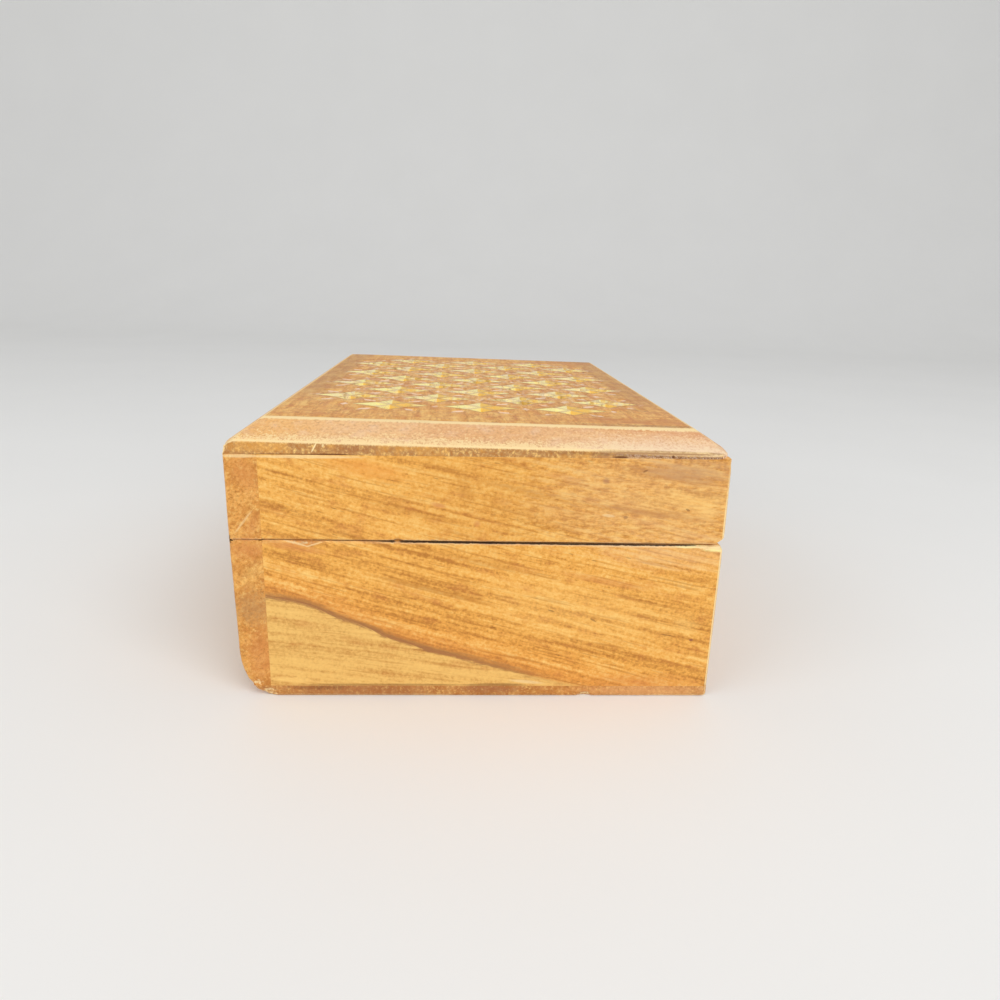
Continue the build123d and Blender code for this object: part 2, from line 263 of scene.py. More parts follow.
class Graph:
    """One material and the few ways in which its nodes are made."""

    def __init__(self, name):
        self.material = bpy.data.materials.new(name)
        self.material.use_nodes = True
        self.tree = self.material.node_tree
        self.tree.nodes.clear()

    def node(self, kind, settings=None, values=None):
        """Add a node: its settings first, then the values or links of its sockets."""
        node = self.tree.nodes.new(kind)
        for name, setting in (settings or {}).items():
            if name == "points":
                self.set_points(node.mapping, setting)
            else:
                setattr(node, name, setting)
        for name, value in (values or {}).items():
            socket = node.inputs[name]
            if isinstance(value, Value):
                value = value.socket
            if isinstance(value, bpy.types.NodeSocket):
                self.tree.links.new(value, socket)
            else:
                socket.default_value = value
        return node

    @staticmethod
    def set_points(mapping, points):
        curve = mapping.curves[0]
        while len(curve.points) < len(points):
            curve.points.new(0.5, 0.5)
        for point, place in zip(curve.points, points):
            point.location = place
        mapping.update()

    def math(self, operation, *terms):
        node = self.node("ShaderNodeMath", {"operation": operation}, dict(enumerate(terms)))
        return Value(self, node.outputs[0])

    def vector(self, x, y, z):
        return self.node("ShaderNodeCombineXYZ", None, {"X": x, "Y": y, "Z": z}).outputs[0]

    def place(self):
        """Place on the box in millimetres, as three values."""
        coordinates = self.node("ShaderNodeTexCoord").outputs["Object"]
        parts = self.node("ShaderNodeSeparateXYZ", None, {0: coordinates})
        return [Value(self, output) / MM for output in parts.outputs]

    def facing(self):
        """The direction that the surface faces, in the box's own axes."""
        normal = self.node("ShaderNodeTexCoord").outputs["Normal"]
        parts = self.node("ShaderNodeSeparateXYZ", None, {0: normal})
        return [Value(self, output) for output in parts.outputs]

    def noise(self, place, detail=2.0, roughness=0.5):
        """Soft noise at a place of three values, with details of about 1 across."""
        values = {"Vector": self.vector(*place), "Scale": 1.0, "Detail": detail, "Roughness": roughness}
        return Value(self, self.node("ShaderNodeTexNoise", None, values).outputs[0])

    def cells(self, place):
        """Distance to the nearest of many scattered points, about 1 apart."""
        values = {"Vector": self.vector(*place), "Scale": 1.0}
        return Value(self, self.node("ShaderNodeTexVoronoi", None, values).outputs["Distance"])

    def curve(self, value, points):
        node = self.node("ShaderNodeFloatCurve", {"points": points}, {"Value": value})
        return Value(self, node.outputs[0])

    def painted(self, name):
        """A value that the mesh carries at its corners, such as how worn the edge is."""
        node = self.node("ShaderNodeAttribute", {"attribute_name": name})
        return Value(self, node.outputs["Fac"])

    def flower_place(self, x, y):
        """Place within the nearest flower of the lattice, in mm from its middle."""
        across, along = x / FLOWER_PITCH[0], y / FLOWER_PITCH[1]
        one = self.math("WRAP", (across + along) / 2.0, 0.5, -0.5)
        other = self.math("WRAP", (across - along) / 2.0, 0.5, -0.5)
        return (one + other) * FLOWER_PITCH[0], (one - other) * FLOWER_PITCH[1]

    def mix(self, factor, one, other):
        """One colour over another: the Mix node keeps its colour sockets at 6, 7 and 2."""
        node = self.node("ShaderNodeMix", {"data_type": "RGBA"}, {0: factor, 6: one, 7: other})
        return node.outputs[2]

    def bump(self, height):
        """A surface normal bent by a height in mm."""
        return self.node("ShaderNodeBump", None, {"Height": height, "Distance": MM}).outputs[0]

    def finish(self, shader):
        self.node("ShaderNodeOutputMaterial", None, {"Surface": shader.outputs[0]})
        return self.material


# What every colour setting shares
TONE = {"subtype": "COLOR_GAMMA", "size": 3, "min": 0, "max": 1}


class WoodSettings(bpy.types.PropertyGroup):
    pale: FloatVectorProperty(
        name="Pale flecks", description="Brightest gold of the polished wood",
        default=(0.985, 0.805, 0.47), **TONE)
    light: FloatVectorProperty(
        name="Ground", description="Golden brown ground of the heartwood",
        default=(0.93, 0.675, 0.31), **TONE)
    warm: FloatVectorProperty(
        name="Orange zones", description="More orange zones of the heartwood",
        default=(0.92, 0.61, 0.26), **TONE)
    dark: FloatVectorProperty(
        name="Grain lines", description="Brown of the darker grain lines",
        default=(0.71, 0.455, 0.165), **TONE)
    pore: FloatVectorProperty(
        name="Pores", description="Dark of the open pores and gaps",
        default=(0.42, 0.24, 0.10), **TONE)
    red: FloatVectorProperty(
        name="Red heart", description="Reddish tone along heart streaks and in the end grain",
        default=(0.82, 0.52, 0.28), **TONE)
    streak: FloatVectorProperty(
        name="Heart streak", description="Dark brown of the streak between heartwood and sapwood",
        default=(0.655, 0.455, 0.25), **TONE)
    knot: FloatVectorProperty(
        name="Knots", description="Purplish brown of the pin knots",
        default=(0.60, 0.37, 0.24), **TONE)
    dull: FloatVectorProperty(
        name="Grey brown", description="Greyish brown of the heart streak and of grimy grain",
        default=(0.68, 0.50, 0.32), **TONE)
    sap: FloatVectorProperty(
        name="Sapwood", description="Paler, yellower wood under the heart streak",
        default=(0.925, 0.735, 0.41), **TONE)
    rubbed: FloatVectorProperty(
        name="Rubbed edge", description="Pale wood where the finish is rubbed off",
        default=(0.975, 0.865, 0.64), **TONE)
    top: FloatVectorProperty(
        name="Top ground", description="Duller ground of the top board",
        default=(0.925, 0.685, 0.36), **TONE)
    # Pinkish open grain; over the top board's end bevels it also stands for painted sheen
    bevel: FloatVectorProperty(
        name="Bevel", description="Pinkish open grain on the end bevels",
        default=(0.925, 0.745, 0.555), **TONE)
    gilt: FloatVectorProperty(
        name="Gilt", description="Gold of the wood between the petals, rubbed with brass dust",
        default=(0.94, 0.76, 0.42), **TONE)
    bare: FloatVectorProperty(
        name="Bare corner", description="Greenish yellow of the worn corner beside the seam",
        default=(0.95, 0.92, 0.62), **TONE)
    # Painted shade: the near-black line along the seam
    seam_shade: FloatVectorProperty(
        name="Grime", description="Near black of the dirt along the seam",
        default=(0.17, 0.09, 0.05), **TONE)
    bloom: FloatVectorProperty(
        name="Bloom", description="Pinkish white of the rough, rubbed end grain",
        default=(0.95, 0.84, 0.73), **TONE)
    gloss: FloatProperty(
        name="Roughness", description="Roughness of the satin finish",
        subtype="FACTOR", min=0, max=1, default=0.5)


class WearSettings(bpy.types.PropertyGroup):
    edge: FloatProperty(
        name="Edge round", description="Radius of the hand-rounded free edges",
        unit="LENGTH", min=0, default=0.36 * MM)
    rub: FloatProperty(
        name="Edge rub", description="Deepest wear along the free edges",
        unit="LENGTH", min=0, default=0.14 * MM)
    step: FloatProperty(
        name="Mesh step", description="Length of the mesh faces along the boards",
        unit="LENGTH", min=MM, default=3.5 * MM)


class BrassSettings(bpy.types.PropertyGroup):
    bright: FloatVectorProperty(
        # Painted highlight: the pale brass of the lit left halves of the petals
        name="Rubbed brass", description="Pale brass of the rubbed petals",
        default=(1.0, 0.955, 0.64), **TONE)
    # Painted shade: the deeper gold of the shaded halves of the petals
    shaded_brass: FloatVectorProperty(
        name="Golden brass", description="Deeper gold in the hollows",
        default=(0.97, 0.79, 0.40), **TONE)
    # Painted highlight: pinkish white on the petals, more towards the far rows
    blush_highlight: FloatVectorProperty(
        name="Blushed brass", description="Pinkish white of petals under thick lacquer",
        default=(0.97, 0.88, 0.74), **TONE)
    # Painted light as well as patches: the aged tone goes on faces turned right, the dusky one on faces
    # turned left
    aged: FloatVectorProperty(
        name="Aged brass", description="Golden ground of the hinges and screws",
        default=(0.97, 0.86, 0.56), **TONE)
    dusky: FloatVectorProperty(
        name="Dusky brass", description="Darker patches of the hinges and screws",
        default=(0.88, 0.72, 0.40), **TONE)
    # Dark brass tarnish, also painted as shade on the flat rims round the petals and in dark flecks past the
    # first row
    tarnish_and_shade: FloatVectorProperty(
        name="Tarnish", description="Dark of the creases and the joints round the petals",
        default=(0.50, 0.35, 0.15), **TONE)
    roughness: FloatProperty(
        name="Roughness", description="Roughness of the rubbed brass",
        subtype="FACTOR", min=0, max=1, default=0.36)
    slot_width: FloatProperty(
        name="Slot width", description="Width of the slot in a screw head",
        unit="LENGTH", min=0, default=0.36 * MM)
    slot_depth: FloatProperty(
        name="Slot depth", description="Depth of the slot in a screw head",
        unit="LENGTH", min=0, default=0.32 * MM)
    break_edge: FloatProperty(
        name="Broken edge", description="Bevel along the edges of the hinge leaves and pins",
        unit="LENGTH", min=0, default=0.1 * MM)


class StageSettings(bpy.types.PropertyGroup):
    floor: FloatVectorProperty(
        name="Floor", description="Colour of the floor and backdrop",
        default=(0.93, 0.93, 0.925), **TONE)
    camera: FloatVectorProperty(
        name="Camera", description="Place of the camera",
        subtype="TRANSLATION", unit="LENGTH", size=3, default=(-5.96 * MM, -223.3 * MM, 92.6 * MM))
    pitch: FloatProperty(
        name="Pitch", description="How far the camera looks down",
        subtype="ANGLE", default=0.2944)
    yaw: FloatProperty(
        name="Yaw", description="How far the camera is turned to the right",
        subtype="ANGLE", default=-0.06548)
    roll: FloatProperty(
        name="Roll", description="How far the camera is tipped sideways",
        subtype="ANGLE", default=-0.03679)
    lens: FloatProperty(
        name="Lens", description="Focal length in millimetres",
        min=1, default=25.92)
    key: FloatProperty(
        name="Key light", description="Power of the large soft lamp at the upper right",
        unit="POWER", min=0, default=5.0)
    fill: FloatProperty(
        name="Fill light", description="Power of the soft lamp at the left",
        unit="POWER", min=0, default=1.8)
    sky: FloatProperty(
        name="Sky light", description="Strength of the even light from all round",
        min=0, default=0.62)


class BoxSettings(bpy.types.PropertyGroup):
    wood: PointerProperty(type=WoodSettings, name="Wood", description="Tones of the wood")
    wear: PointerProperty(type=WearSettings, name="Wear", description="How the boards' edges are worn")
    brass: PointerProperty(type=BrassSettings, name="Brass", description="Tones of the brass, and its edges")
    stage: PointerProperty(type=StageSettings, name="Stage", description="Floor, camera and lamps")


def side(name):
    """The unit vector of a side such as -Y."""
    return AXES[name[1]] * (-1 if name[0] == "-" else 1)


def open_node(node):
    """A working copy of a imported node's mesh, with its split corners joined again."""
    mesh = bmesh.new()
    mesh.from_mesh(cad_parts[node].data)
    bmesh.ops.remove_doubles(mesh, verts=mesh.verts, dist=JOIN_REACH)
    bmesh.ops.dissolve_limit(mesh, angle_limit=FLAT_ANGLE, verts=mesh.verts, edges=mesh.edges)
    return mesh


def looks(face, name):
    """Whether a face looks to a side such as -Y."""
    return face.normal.dot(side(name)) > 0.6


def round_edges(mesh, sides, width, joint=None, carved=None):
    """Round the sharp edges between open sides, but not a joint between two of them or a carved field."""
    rim = mesh.faces.layers.float.new("rim")
    open_faces = {face for face in mesh.faces if any(looks(face, name) for name in sides)}

    def is_free(edge):
        if len(edge.link_faces) != 2 or edge.calc_face_angle() < SHARP_ANGLE:
            return False
        one, other = edge.link_faces
        middle = (edge.verts[0].co + edge.verts[1].co) / 2
        if carved and abs(middle.x) < carved[0] * MM and abs(middle.y) < carved[1] * MM:
            return False
        if joint and any(looks(a, joint[0]) and looks(b, joint[1]) for a, b in ((one, other), (other, one))):
            return False
        return one in open_faces and other in open_faces

    edges = [edge for edge in mesh.edges if is_free(edge)]
    made = bmesh.ops.bevel(
        mesh, geom=edges, offset=width, segments=3, profile=0.5, affect="EDGES", clamp_overlap=True)
    for face in made["faces"]:
        face[rim] = 1.0


def slice_mesh(mesh, axis, places):
    """Cut the mesh across an axis at some places, so that it can be worn and painted."""
    for place in places:
        geometry = [*mesh.verts, *mesh.edges, *mesh.faces]
        bmesh.ops.bisect_plane(mesh, geom=geometry, plane_co=AXES[axis] * place, plane_no=AXES[axis])


def cut_places(low, high, step):
    """Evenly spaced places between two limits, with one more near each limit."""
    count = max(1, round((high - low) / step))
    places = [low + (high - low) * index / count for index in range(1, count)]
    return sorted([low + END_MARGIN, high - END_MARGIN, *places])


def wear_down(mesh, rub, knocks):
    """Rub the rounded edges unevenly and push the knocks in, with the fresh wood painted on the corners."""
    rim = mesh.faces.layers.float["rim"]
    fresh = mesh.verts.layers.float.new("fresh")
    mesh.normal_update()
    moves = []
    for vert in mesh.verts:
        if any(face[rim] for face in vert.link_faces):
            ripple = 0.5 + 0.5 * noise.noise(vert.co * 170) + 0.35 * noise.noise(vert.co * 620)
            moves.append((vert, vert.normal * (-rub * max(0.0, ripple))))
        for middle, reach, push, shown in knocks:
            away = Vector([(a - b * MM) / (c * MM) for a, b, c in zip(vert.co, middle, reach)]).length
            if away < 1:
                share = (1 - away * away) * (0.8 + 0.6 * noise.noise(vert.co * 1500))
                vert[fresh] = max(vert[fresh], share * shown)
                moves.append((vert, Vector(push) * (share * MM)))
    for vert, move in moves:
        vert.co += move


def add_piece(mesh, name, body, node, material):
    """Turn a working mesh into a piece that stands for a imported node."""
    data = bpy.data.meshes.new(name)
    mesh.to_mesh(data)
    mesh.free()
    data.shade_smooth()
    data.set_sharp_from_angle(angle=SMOOTH_ANGLE)
    data.materials.append(material)
    piece = bpy.data.objects.new(name, data)
    bpy.context.scene.collection.objects.link(piece)
    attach(piece, body)
    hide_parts(node)
    return piece


def make_board(node, body, sides, material, settings, joint=None, carved=None):
    """One board with rounded, rubbed and knocked edges."""
    wear = settings.wear
    mesh = open_node(node)
    round_edges(mesh, sides, wear.edge, joint, carved)
    low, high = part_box(node)
    for index, axis in enumerate("XYZ"):
        if high[index] - low[index] > 2 * wear.step:
            slice_mesh(mesh, axis, cut_places(low[index], high[index], wear.step))
    knocks = [knock[1:] for knock in KNOCKS if knock[0] == node]
    for middle, reach, push, shown in knocks:
        for index, axis in enumerate("XYZ"):
            shares = (-1, -0.75, -0.5, -0.25, 0, 0.25, 0.5, 0.75, 1)
            slice_mesh(mesh, axis, [(middle[index] + share * reach[index]) * MM for share in shares])
    bmesh.ops.dissolve_degenerate(mesh, dist=JOIN_REACH, edges=mesh.edges)
    wear_down(mesh, wear.rub, knocks)
    return add_piece(mesh, f"worn_{node}", body, node, material)


def make_wall(wall, material, settings):
    """The base's and the lid's board of one wall."""
    outer, inner, end = OPEN_SIDES[wall]
    for body, seam in SEAM_SIDE.items():
        make_board(f"{body}_{wall}", body, (outer, inner, end, seam), material, settings, (inner, end))


class Wood:
    """The wood of one board: its grain, marks, worn places and surface, put together step by step."""

    def __init__(self, settings, name, grain, slope, seed):
        self.tones = settings.wood
        self.graph = Graph(name)
        self.place = self.graph.place()
        self.facing = dict(zip("XYZ", self.graph.facing()))
        by_axis = dict(zip("XYZ", self.place))
        self.along, across, self.depth = (by_axis[axis] for axis in grain)
        self.across = across + self.along * slope
        self.end_axis = grain[0]
        self.seed = seed
        self.colour = None
        self.height = 0.0
        self.roughness = self.tones.gloss
        x, y, z = self.place
        self.grit = self.graph.noise((x * 1.6, y * 1.6, z * 1.6), 2.0, 0.6)
        self.cloud = self.graph.noise((x * 0.3, y * 0.3, z * 0.3), 3.0, 0.6)

    def tone(self, name):
        return linear(getattr(self.tones, name))

    def tint(self, amount, name):
        """Lay one of the wood's tones over the colour."""
        self.colour = self.graph.mix(amount, self.colour, self.tone(name))

    def grow(self, ground, contrast=1.0, lined=1.0):
        """Lay the grain: lines, finer lines, fibres, mottling, grit and pores over a ground colour."""
        graph, along, across, depth, seed = self.graph, self.along, self.across, self.depth, self.seed
        drift = graph.noise((along * 0.014, across * 0.05, seed), 1.0) - 0.5
        ring = across + drift * 2.4 + depth * depth * 0.004
        lines = graph.noise((along * 0.018, ring * 0.42, depth * 0.05 + seed), 2.0, 0.55)
        fine = graph.noise((along * 0.035, ring * 1.1, depth * 1.1 + seed), 1.2, 0.5)
        mottle = graph.noise((along * 0.09, ring * 0.45, depth * 0.5 + seed + 5.0), 3.0, 0.55)
        fibre = graph.noise((along * 0.55, ring * 2.7, depth * 2.7 + seed), 2.0, 0.6)
        thin = graph.noise((along * 0.075, ring * 1.8, depth * 1.8 + seed + 9.0), 1.0)
        specks = graph.cells((along * 0.75, ring * 3.2, depth * 3.2 + seed))
        dashes = graph.cells((along * 0.10, ring * 0.5, depth * 0.5 + seed))
        self.streaks = fine * 0.5 + fibre * 0.5
        bands = (lines.ramp(0.40, 0.64) - 0.42) * 0.36
        shade = (bands + (fine - 0.5) * 0.95) * lined + (mottle - 0.5) * 0.7 + (fibre - 0.5) * 0.7
        shade = (shade + (self.grit - 0.5) * 1.35 + (self.cloud - 0.5) * 0.5) * contrast + 0.03
        self.colour = graph.mix((shade * -1.6).most(0.0).least(1.0), ground, self.tone("pale"))
        self.tint((shade * 1.6).most(0.0).least(0.9), "dark")
        self.tint(thin.ramp(0.55, 0.72, 0.0, 0.5) * contrast * lined, "dark")
        self.tint((mottle + self.cloud * 0.6 - 0.86).most(0.0).least(0.3) * 1.6 * contrast, "red")
        pores = specks.ramp(0.16, 0.30, 1.0, 0.0) * fine.ramp(0.42, 0.62) * 0.18
        pores = pores + dashes.ramp(0.04, 0.08, 1.0, 0.0) * 0.45
        self.tint(pores * contrast, "pore")
        self.height = (fine - 0.5) * 0.06 + (fibre - 0.5) * 0.07 + (self.grit - 0.5) * 0.05 - pores * 0.06
        self.roughness = self.roughness + pores * 0.2 + (self.cloud - 0.5) * 0.2

    def end_grain(self, amount, name):
        """Darker, speckled wood where the board's end shows."""
        x, y, z = self.place
        ends = abs(self.facing[self.end_axis]).ramp(0.6, 0.8)
        specks = self.graph.cells((x * 1.9, y * 1.9, z * 1.9)).ramp(0.15, 0.45, 1.0, 0.0)
        self.tint(ends * amount, name)
        self.tint(ends * (specks * 0.35 + self.cloud.over(0.5) * 1.8).least(0.8), "dark")
        self.tint(ends * self.grit.under(0.48) * 4.5, "dark")
        self.tint(ends * self.grit.over(0.52) * 3.2, "pale")

    def mark(self, marks):
        """Paint streaks, knots, stains and a few painted highlight lines on the near end."""
        x, y, z = self.place
        near = y.ramp(-75.4, -74.6, 1.0, 0.0)
        for middle_x, middle_z, reach_x, reach_z, slope, name, amount in marks:
            over = x - middle_x
            rise = z - middle_z - over * slope
            ragged, core = (2.4, -0.3) if reach_z > 0.7 else (1.0, 0.25)
            away = (over / reach_x) ** 2.0 + (rise / reach_z) ** 2.0 + (self.streaks - 0.5) * ragged
            self.tint(away.ramp(core, 1.1, 1.0, 0.0) * near * amount, name)

    def wear(self, seam=0.0):
        """Pale rims where the finish is rubbed off, with a painted highlight along the right corners, and
        fresh wood in the knocks.
        """
        x, y, z = self.place
        graph = self.graph
        sweep = graph.noise((x * 0.06, y * 0.06, z * 0.06 + 7.0), 2.0)
        # The right corners and the lid's left one are rubbed most, the right corners' rims also standing for
        # a painted highlight, and the seam's edges least
        corners = x.ramp(53.0, 53.4) * 0.6 + x.ramp(-53.7, -53.3, 0.5, 0.0) * z.ramp(38.0, 40.0)
        amount = (sweep - 0.5) * 2.2 + (self.grit - 0.5) * 1.6 + 0.62 + corners
        rim = graph.painted("rim") * amount.most(0.0).least(1.0)
        if seam:
            rim = rim * (1.0 - abs(z - 38.3).ramp(0.7, 1.3, 1.0, 0.0) * (seam - x.ramp(18.0, 28.0) * 0.5))
        self.tint(rim * 0.85, "rubbed")
        fresh = (graph.painted("fresh") * ((self.grit - 0.5) * 5.0 + 1.0)).ramp(0.1, 0.45)
        self.tint(fresh * 0.85, "rubbed")
        self.tint(fresh * self.cloud.over(0.5) * 3.0, "dull")
        self.roughness = self.roughness + rim * 0.15

    def inside(self, where=1.0):
        """Duller, drier wood inside the box."""
        x, y, z = self.place
        across, along = HOLLOW
        inner = (across - abs(x)).ramp(0.0, 0.25) * (along - abs(y)).ramp(0.0, 0.25) * where
        self.tint(inner * 0.3, "dull")
        self.roughness = self.roughness + inner * 0.15

    def shade_along_seam(self, half_width, amount):
        """Painted shade: a near-black line along the outer side of the seam, between pinkish rubbed lips."""
        x, y, z = self.place
        across, along = OUTER_FACES
        outer = (abs(x) - across).ramp(0.0, 0.3).most((abs(y) - along).ramp(0.0, 0.3))
        away = abs(z - SEAM) + (self.grit - 0.5) * 0.25 + (self.cloud - 0.5) * 0.3
        self.tint((away - half_width).ramp(0.0, 0.35, 0.35, 0.0) * outer * amount, "bloom")
        # Painted shade: the near-black line along the seam
        self.tint((away - half_width).ramp(-0.08, 0.1, 1.0, 0.0) * outer * amount, "seam_shade")

    def finish(self):
        graph = self.graph
        values = {
            "Base Color": self.colour,
            "Roughness": self.roughness,
            "Normal": graph.bump(self.height),
            "Specular IOR Level": 0.3,
        }
        return graph.finish(graph.node("ShaderNodeBsdfPrincipled", None, values))


def near_wood(settings):
    """The near end's board, base and lid: fanned grain over a heart streak, pale sapwood below it."""
    wood = Wood(settings, "near_end_wood", "XZY", 0.0, 3.0)
    graph = wood.graph
    x, y, z = wood.place
    left, right, low, span = -56.0, 56.0, -10.0, 50.0
    points = [((px - left) / (right - left), (pz - low) / span) for px, pz in HEART_STREAK]
    streak_z = graph.curve((x - left) / (right - left), points) * span + low
    waver = graph.noise((x * 0.07, z * 0.2, 4.0), 2.0) - 0.5
    over = z - streak_z + waver * 1.2
    heart = over.ramp(-0.6, 0.4)
    slant = z + x * (0.306 - x * 0.0007 - z * 0.0018)
    wood.across = slant * heart + (z + x * 0.13) * (1.0 - heart)
    wood.depth = y + 72.5
    ground = graph.mix(heart, wood.tone("sap"), wood.tone("light"))
    ground = graph.mix(over.ramp(0.0, 11.0, 0.6, 0.0) * heart, ground, wood.tone("warm"))
    wood.grow(ground, heart * 0.4 + 0.6)
    ripple = graph.noise((x * 0.32, z * 1.15, 8.0), 3.0, 0.65)
    figured = z.ramp(37.0, 40.0) * (x.ramp(-8.0, 32.0) * 0.8 + 0.2)
    wood.tint(figured * ripple.over(0.5).least(0.2) * 4.0, "dark")
    wood.tint(figured * ripple.under(0.5).least(0.2) * 4.4, "pale")
    ragged = over + (wood.streaks - 0.5) * 3.0
    band = ragged.ramp(-0.2, 0.6) * ragged.ramp(1.2, 5.0, 1.0, 0.0)
    fade = x.ramp(-47.0, -30.0, 0.3, 0.35) * x.ramp(5.0, 25.0, 1.0, 0.4)
    wood.tint(band * (wood.streaks * 1.6 - 0.2) * fade, "red")
    line = abs(ragged - 0.2).ramp(0.1, 1.3, 1.0, 0.0) * (1.0 - x.ramp(4.0, 20.0, 0.0, 0.8))
    wood.tint(line * x.ramp(-47.0, -36.0, 0.75, 0.85), "streak")
    wood.tint(abs(ragged + 0.1).ramp(0.1, 0.6, 0.45, 0.0) * x.ramp(-10.0, 14.0, 1.0, 0.0), "knot")
    wood.end_grain(0.5, "red")
    wood.mark(NEAR_MARKS)
    wood.inside()
    wood.wear(0.9)
    dark_end = x.ramp(-24.0, -18.0)
    wood.shade_along_seam(dark_end * 0.2 + x.ramp(24.0, 50.0, 0.1, 0.0), dark_end * 0.4 + 0.55)
    return wood.finish()


def plain_wood(settings, name, grain, slope, seed, tone, end_tone, end_amount=0.55, marks=()):
    """Straight-grained board wood; grain names the axes that run along, across and into the board."""
    wood = Wood(settings, name, grain, slope, seed)
    ground = wood.graph.mix(0.5, wood.tone("light"), wood.tone(tone))
    wood.grow(ground)
    wood.end_grain(end_amount, end_tone)
    wood.mark(marks)
    wood.inside()
    wood.wear(0.5)
    wood.shade_along_seam(0.05, 0.6)
    return wood.finish()


def tint_flat(wood, flat, rough, smear):
    """Mottle and smear the top board's flat, more so along its ends and towards the right, with a painted
    greyish shadow inside the end borders at the right.
    """
    x, y, z = wood.place
    reach = abs(y)
    blotch = wood.graph.noise((x * 0.42, y * 0.15, 9.0), 3.0, 0.6)
    wood.tint(flat * wood.cloud.over(0.42).least(0.4) * 1.3, "warm")
    wood.tint(flat * ((blotch - 0.52) * 5.0).most(0.0).least(0.7), "pale")
    wood.tint(flat * ((0.47 - blotch) * 5.0).most(0.0).least(0.7), "red")
    wood.tint(flat * ((smear - 0.52) * (rough * 3.5 + 3.5)).most(0.0).least(0.6), "red")
    wood.tint(flat * (abs(x) - 36.0).ramp(0.0, 7.0, 0.0, 0.4) * y.ramp(-60.0, -20.0), "dull")
    heat = abs(reach - 60.0).ramp(1.0, 5.0, 1.0, 0.0) * x.ramp(14.0, 30.0) * (smear * 2.4 - 0.5)
    wood.tint(flat * heat.most(0.0) * 0.8, "red")
    wood.tint(flat * heat.most(0.0) * (wood.grit - 0.3) * 0.9, "dark")
    # Painted shadow: a greyish band inside the end borders at the right
    wood.tint(flat * rough * reach.ramp(64.2, 65.6) * (wood.grit * 1.6 - 0.2), "dull")


def tint_bevels(wood, bevel, rough, smear, fray):
    """Open pinkish grain on the end bevels, partly painted sheen, with a frayed cream rim along the lower
    edge, also partly painted sheen.
    """
    x, y, z = wood.place
    # Partly painted sheen: the pinkish tone over the bevels
    wood.tint(bevel * 0.85, "bevel")
    tan = x.ramp(-44.0, -28.0, 0.45, 0.0) + smear.over(0.5)
    wood.tint(bevel * tan, "light")
    wood.tint(bevel * (abs(x - 1.0).ramp(4.0, 24.0, 0.25, 0.0) + smear.under(0.46) * 1.5), "red")
    wood.tint(bevel * (wood.cloud + rough * 0.12 - 0.5).most(0.0).least(0.5) * 1.6, "bloom")
    wood.tint(bevel * wood.grit.over(0.53) * (2.4 - rough), "dull")
    wood.tint(bevel * wood.grit.under(0.46) * 2.5, "rubbed")
    share = (76.0 - abs(y)) / 8.0 + (wood.grit - 0.5) * 0.8 + fray * 0.5 + (wood.cloud - 0.5) * 0.8
    # Partly painted sheen: the frayed cream rim along the bevels' lower edge
    wood.tint(bevel * share.ramp(0.0, 0.34, 0.8, 0.0), "rubbed")
    wood.tint(bevel * rough * share.ramp(0.1, 0.6, 0.6, 0.0), "bloom")
    wood.tint(bevel * rough * share.ramp(0.5, 0.85) * (smear * 1.6 - 0.3).most(0.0), "red")


def tint_ends(wood, band, rough, fray):
    """Speckle the top board's upright ends and rub the lip over them, with a painted shadow line under the
    lip at the right.
    """
    x, y, z = wood.place
    wood.tint(band * 0.8, "dull")
    wood.tint(band * wood.grit.over(0.5) * 4.0, "dark")
    wood.tint(band * wood.grit.under(0.48) * (4.0 - rough), "pale")
    wood.tint(band * wood.cloud.over(0.5) * 3.0, "light")
    lip = LIP_HEIGHT - x * LIP_FALL - z + fray * 0.5 - x.ramp(20.0, 44.0) * 0.35
    wood.tint(band * lip.ramp(0.2, 0.6, 0.9, 0.0), "rubbed")
    # Painted shadow: a dark line under the rubbed lip at the right
    wood.tint(band * rough * abs(lip - 0.85).ramp(0.1, 0.5, 0.75, 0.0), "pore")
    wood.tint(band * x.ramp(22.0, 34.0) * (fray + 0.1).most(0.0).least(0.4) * 1.8, "bloom")


def tint_flowers(wood, flat, sunk):
    """Gild the ground of each flower, with a painted highlight on its left half and a painted shadow round
    its outline; fleck the rows past the first with painted highlights and darker flecks, and give the cuts a
    painted highlight on their faces and painted shade deeper down.
    """
    x, y, z = wood.place
    graph = wood.graph
    cut = flat * sunk.ramp(0.06, 0.2) * sunk.ramp(2.5, 3.0, 1.0, 0.0)
    u, v = graph.flower_place(x, y)
    star = abs(u) / 9.0 + abs(v) / 7.0
    inside = (40.0 - abs(x - u)).ramp(0.0, 1.0) * (54.0 - abs(y - v)).ramp(0.0, 1.0) * flat
    wood.tint(inside * star.ramp(0.76, 0.84, 0.85, 0.0), "gilt")
    # Painted highlight on the left half of each flower
    wood.tint(inside * star.ramp(0.76, 0.84, 0.8, 0.0) * u.ramp(-0.3, 0.3, 1.0, 0.0), "rubbed")
    # Painted shadow round each flower's outline
    wood.tint(inside * abs(star - 0.95).ramp(0.06, 0.14, 0.35, 0.0), "dark")
    # Past the first row: pinkish-white flecks of painted highlight, reddish flecks and dark flecks of painted
    # shade
    fleck = graph.noise((x * 0.5, y * 0.3, 21.0), 2.0, 0.6)
    rows_past_first = inside * y.ramp(-48.0, -38.0)
    wood.tint(rows_past_first * fleck.over(0.5).least(0.3) * 3.0, "bloom")
    wood.tint(rows_past_first * fleck.under(0.5).least(0.3) * 2.4, "red")
    wood.tint(rows_past_first * fleck.under(0.42).least(0.2) * 4.0, "knot")
    # Painted highlight on the faces of the cuts, and painted shade deeper in them
    wood.tint(cut * wood.cloud.ramp(0.3, 0.55) * 0.9, "bloom")
    wood.tint(cut * sunk.ramp(0.7, 1.35) * 0.7, "knot")


